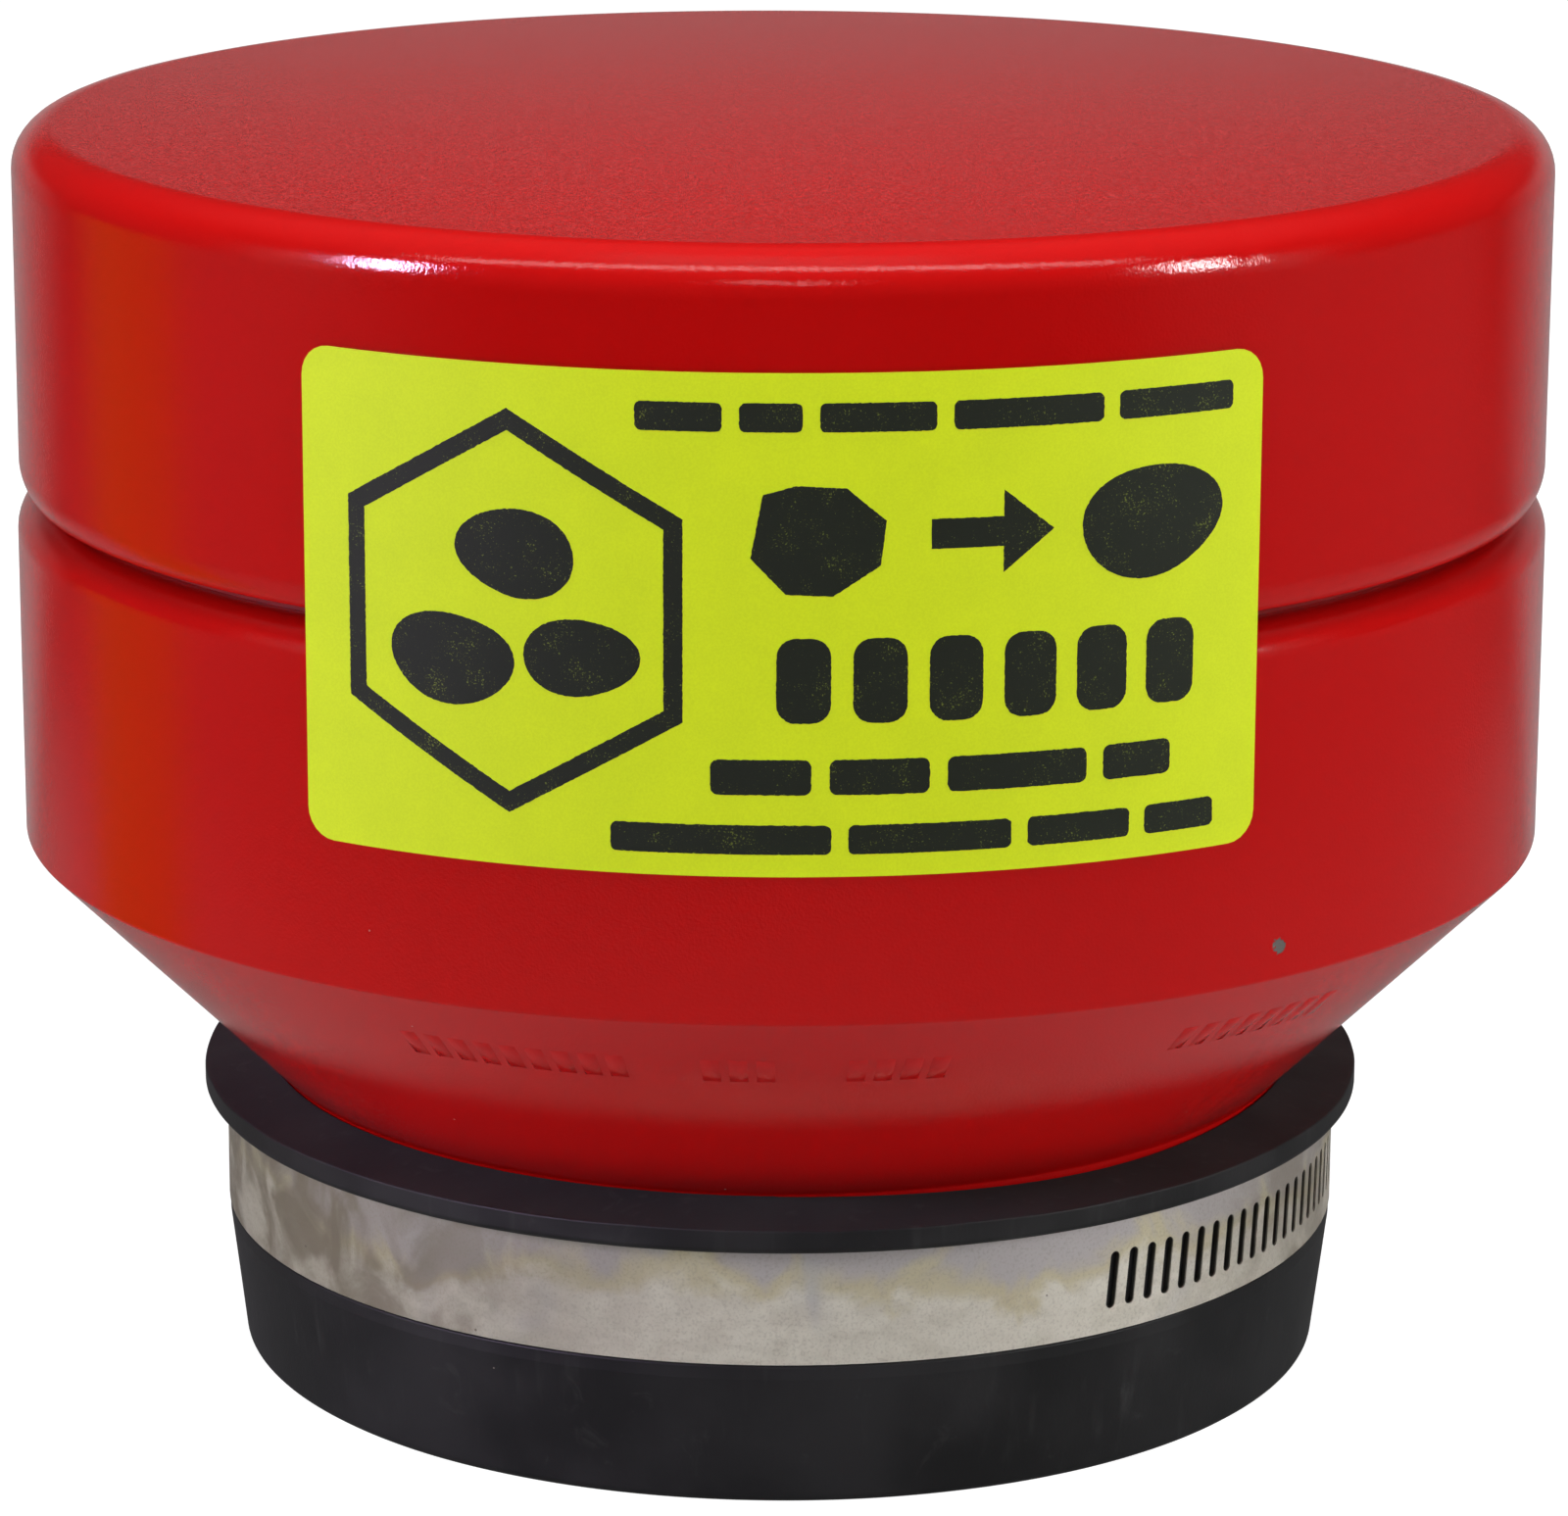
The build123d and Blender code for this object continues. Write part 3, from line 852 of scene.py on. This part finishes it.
def make_label():
    """The sheet, and its print of plain shapes."""
    outline_points = box_points(0, 0, LABEL_WIDTH, LABEL_TOP - LABEL_BOTTOM, LABEL_CORNER)
    flat_piece("label_sheet", [[outline_points]], -LABEL_THICKNESS, 0, paper, ["label"])
    emblem_u, emblem_v = -27.5 * MM, 0.5 * MM
    printed("emblem_frame", [hexagon(emblem_u, emblem_v, 20.5 * MM, 1.9 * MM)], 1)
    pebbles = [
        [pebble(emblem_u - 6.2 * MM, emblem_v - 5.2 * MM, 13.0 * MM, 9.6 * MM, 1)],
        [pebble(emblem_u + 7.4 * MM, emblem_v - 4.2 * MM, 11.4 * MM, 8.2 * MM, 2)],
        [pebble(emblem_u + 0.8 * MM, emblem_v + 6.0 * MM, 12.4 * MM, 9.0 * MM, 3)],
    ]
    printed("emblem_pebbles", pebbles, 2)
    top_line = word_bars(-14.5 * MM, 21.0 * MM, 2.9 * MM,
                         [w * MM for w in (8.6, 6.2, 11.5, 15.5, 13.0)], 1.7 * MM)
    printed("small_bars", top_line, 3)
    pictures = [
        [rough_stone(3.5 * MM, 9.2 * MM, 16.5 * MM, 13.0 * MM, 5)],
        [arrow(21.0 * MM, 9.2 * MM, 12.5 * MM, 3.0 * MM, 5.2 * MM)],
        [pebble(38.0 * MM, 9.2 * MM, 15.5 * MM, 11.5 * MM, 6)],
    ]
    printed("stone_pictures", pictures, 4)
    gauge = word_bars(-0.5 * MM, -5.4 * MM, 8.6 * MM, [5.4 * MM] * 6, 2.2 * MM)
    printed("fill_gauge", gauge, 5)
    lower = word_bars(-7.0 * MM, -15.2 * MM, 3.6 * MM,
                      [w * MM for w in (10.0, 10.0, 14.5, 7.5)], 1.8 * MM)
    lower += word_bars(-17.0 * MM, -21.6 * MM, 3.0 * MM,
                       [w * MM for w in (22.0, 16.5, 11.0, 8.0)], 1.7 * MM)
    printed("lower_bars", lower, 6)


make_label()


# --- Rubber lid ---------------------------------------------------------------------------

RIM_WAVE = 0.14 * MM
RIM_RISE = 0.08 * MM
SQUEEZE = 0.62 * MM  # how much higher the rim stands beside the hub, but for one slack place
SLACK_AZIMUTH = math.radians(36)
SLACK_WIDTH = math.radians(24)


def lid_shape(place, azimuth):
    """Soft rubber: its walls bulge a little, and the rim is wavy, cut by hand and squeezed."""
    outward = around(1, azimuth, 0)
    radius = place.xy.length
    rim = max(0.0, (place.z - LID_RIM_BOTTOM) / (LID_RIM_TOP - LID_RIM_BOTTOM))
    out = 0.05 * MM * smooth_noise(place, 14 * MM, 5.0)
    up = 0.0
    if radius > LID_BORE + MM:
        out += RIM_WAVE * rim * smooth_noise(place, 9 * MM, 11.0)
        up += RIM_RISE * rim * smooth_noise(place, 7 * MM, 17.0)
    if place.z > LID_RIM_TOP:
        inward = (LID_RIM_RADIUS - radius) / (LID_RIM_RADIUS - LID_BORE)
        slack = math.exp(-((azimuth - SLACK_AZIMUTH) / SLACK_WIDTH) ** 2)
        up += SQUEEZE * (1 - slack) * inward ** 2
    return place + outward * out * min(1.0, radius / LID_BORE) + Vector((0, 0, up))


def make_lid():
    """A cup with a seat for the clamp under its rim."""
    corners = [
        (0, 0, 0),
        (LID_BASE_RADIUS, 0, 1.0 * MM),
        (LID_SHOULDER_RADIUS, SHOULDER_BOTTOM, 0.5 * MM),
        (LID_SHOULDER_RADIUS, SEAT_BOTTOM, 0.2 * MM),
        (SEAT_RADIUS, SEAT_BOTTOM, 0),
        (SEAT_RADIUS, LID_RIM_BOTTOM, 0.2 * MM),
        (LID_RIM_RADIUS, LID_RIM_BOTTOM, LID_RIM_ROUND),
        (LID_RIM_RADIUS, LID_RIM_TOP, LID_RIM_CUT_ROUND),
        (LID_BORE, LID_RIM_INNER_TOP, 0.25 * MM),
        (LID_BORE, LID_FLOOR, 1.2 * MM),
        (0, LID_FLOOR, 0),
    ]
    points = outline(corners, closed=False, longest=1.2 * MM, steps=6, guard=0.12 * MM)
    vertices, faces = turned(points, False, lid_shape)
    new_piece("rubber_lid", vertices, faces, rubber, "lid", ["rubber_cap"])


make_lid()


# --- Camera -------------------------------------------------------------------------------

def make_camera():
    """A long lens, a little above the barrel and in front of its label."""
    distance = 0.6941
    height = 0.24869
    tilt_down = 0.2582  # radians
    roll = math.radians(0.2)
    data = bpy.data.cameras.new("camera")
    data.sensor_width = 36.0
    data.lens = 146.9
    data.shift_x = 0.0019
    data.clip_start = 0.01
    camera = linked("camera", data)
    aim = Matrix.Rotation(math.pi / 2 - tilt_down, 4, "X") @ Matrix.Rotation(roll, 4, "Z")
    camera.matrix_world = Matrix.Translation((0, -distance, height)) @ aim
    bpy.context.scene.camera = camera


# --- Studio -------------------------------------------------------------------------------

def area_light(name, kind, azimuth, elevation, distance, size, radiance, colour=(1, 1, 1)):
    """A softbox of one size (width, height), at a bearing in degrees from the middle of the
    crown and facing it. A matt one lights the barrel but isn't mirrored in it, and a gloss one
    is only mirrored."""
    width, height = size
    data = bpy.data.lights.new(name, "AREA")
    data.shape = "RECTANGLE"
    data.size = width
    data.size_y = height
    data.energy = radiance * math.pi * width * height
    data.color = colour
    light = linked(name, data)
    light.visible_glossy = kind == "gloss"
    light.visible_diffuse = kind == "matt"
    tilt = math.radians(elevation)
    way = around(math.cos(tilt), math.radians(azimuth), math.sin(tilt))
    light.location = Vector((0, 0, CAP_TOP)) + way * distance
    light.rotation_mode = "QUATERNION"
    light.rotation_quaternion = way.to_track_quat("Z", "Y")


def table_glow(look):
    """What the gloss picks up from the table: nothing in front, a dim sheet beside and under
    the barrel, a brighter one behind it, and something orange at its left."""
    x, y, _ = look.axes()
    away = look.radius()
    behind = look.maths("DIVIDE", y, away)
    beside = look.maths("MULTIPLY", look.spread(behind, -0.85, -0.20, 0.0, 0.11),
                        look.spread(behind, 0.20, 0.60, 1.0, 0.5))
    beyond = look.spread(behind, 0.60, 0.80, 0.0, 0.26)
    under = look.spread(away, 0.22, 0.50, 0.205, 0.0)
    strength = look.maths("MAXIMUM", look.maths("ADD", beside, beyond), under)
    lower_edge = look.maths("ADD", y, look.maths("MULTIPLY", x, 0.16))
    upper_edge = look.maths("ADD", y, look.maths("MULTIPLY", x, 0.65))
    orange = look.maths("MULTIPLY", look.spread(lower_edge, -0.070, -0.060),
                        look.spread(upper_edge, -0.092, -0.082, 1.0, 0.0))
    orange = look.maths("MULTIPLY", orange, look.spread(x, -0.20, -0.12, 1.0, 0.0))
    return look.shader("Emission", look.mix(orange, (1, 1, 1), (1.0, 0.62, 0.05)),
                       look.mix(orange, strength, 0.30, "FLOAT"))


def flat_sheet(name, corners):
    """A sheet of four corners for the studio, and the recipe of its material."""
    mesh = bpy.data.meshes.new(name)
    mesh.from_pydata(corners, [], [(0, 1, 2, 3)])
    look = Recipe(bpy.data.materials.new(name))
    mesh.materials.append(look.owner)
    return linked(name, mesh), look


def make_floor():
    """A pale floor, white where the camera sees it."""
    size = 6.0
    level = -0.05 * MM
    floor, look = flat_sheet("floor", [(-size, -size, level), (size, -size, level),
                                       (size, size, level), (-size, size, level)])
    ways = look.node("LightPath").outputs
    seen = look.shader("AddShader", look.shader("BsdfDiffuse", (0.20, 0.20, 0.20)),
                       look.shader("Emission", (1, 1, 1), 0.98))
    bounce = look.shader("BsdfDiffuse", (0.76, 0.75, 0.74))
    lit = look.shader("MixShader", ways["Is Glossy Ray"], bounce, table_glow(look))
    look.show(look.shader("MixShader", ways["Is Camera Ray"], lit, seen))


def make_backdrop():
    """A low pale card behind the barrel, that only the gloss of its crown picks up."""
    place, half_width, top = 0.35, 0.6, 0.205
    card, look = flat_sheet("backdrop", [(-half_width, place, 0), (half_width, place, 0),
                                         (half_width, place, top), (-half_width, place, top)])
    x, _, z = look.axes()
    to_sides = look.spread(look.maths("ABSOLUTE", x), 0.15, half_width, 1.0, 0.0)
    strength = look.maths("MULTIPLY", look.spread(z, 0.160, top, 0.31, 0.0), to_sides)
    look.show(look.shader("Emission", (1, 1, 1), strength))
    card.visible_camera = False
    card.visible_diffuse = False
    card.visible_shadow = False


def make_world():
    """White to the camera and a dim room to everything else, brighter overhead."""
    look = Recipe(bpy.data.worlds.new("room"), "Generated")
    bpy.context.scene.world = look.owner
    ways = look.node("LightPath").outputs
    overhead = look.spread(look.axes()[2], 0.50, 0.90, 0.03, 0.16)
    room = look.shader("Background", (1, 1, 1), overhead)
    dim = look.shader("Background", (0.12, 0.12, 0.12))
    unseen = look.shader("MixShader", ways["Is Glossy Ray"], dim, room)
    white = look.shader("Background", (1, 1, 1))
    look.show(look.shader("MixShader", ways["Is Camera Ray"], unseen, white))


def make_lights():
    """The matt lamps light the barrel, and the gloss ones are its streaks."""
    tall = (0.08, 0.30)
    area_light("left_lamp", "gloss", azimuth=-58, elevation=18, distance=0.95, size=tall,
               radiance=122.0, colour=(0.80, 0.62, 1.0))
    area_light("right_lamp", "gloss", azimuth=61.5, elevation=18, distance=0.95, size=tall,
               radiance=43.0)
    for name, azimuth in (("left_fill", -68), ("right_fill", 68)):
        area_light(name, "matt", azimuth, elevation=9, distance=1.0, size=(0.4, 0.4),
                   radiance=11.2)
    area_light("back_fill", "matt", azimuth=180, elevation=10, distance=0.9, size=(0.6, 0.3),
               radiance=5.0)
    area_light("overhead", "matt", azimuth=0, elevation=66, distance=0.24, size=(0.14, 0.14),
               radiance=10.4)
    area_light("ceiling_lamp", "matt", azimuth=0, elevation=85.3, distance=3.4,
               size=(0.2, 0.2), radiance=210.0)
    area_light("ceiling_tube", "gloss", azimuth=0, elevation=57, distance=0.70,
               size=(1.2, 0.05), radiance=7.0)
    area_light("front_lamp", "gloss", azimuth=0, elevation=25, distance=0.95,
               size=(0.20, 0.012), radiance=25.0)


make_camera()
make_floor()
make_backdrop()
make_world()
make_lights()
bpy.context.scene.view_settings.view_transform = "Standard"
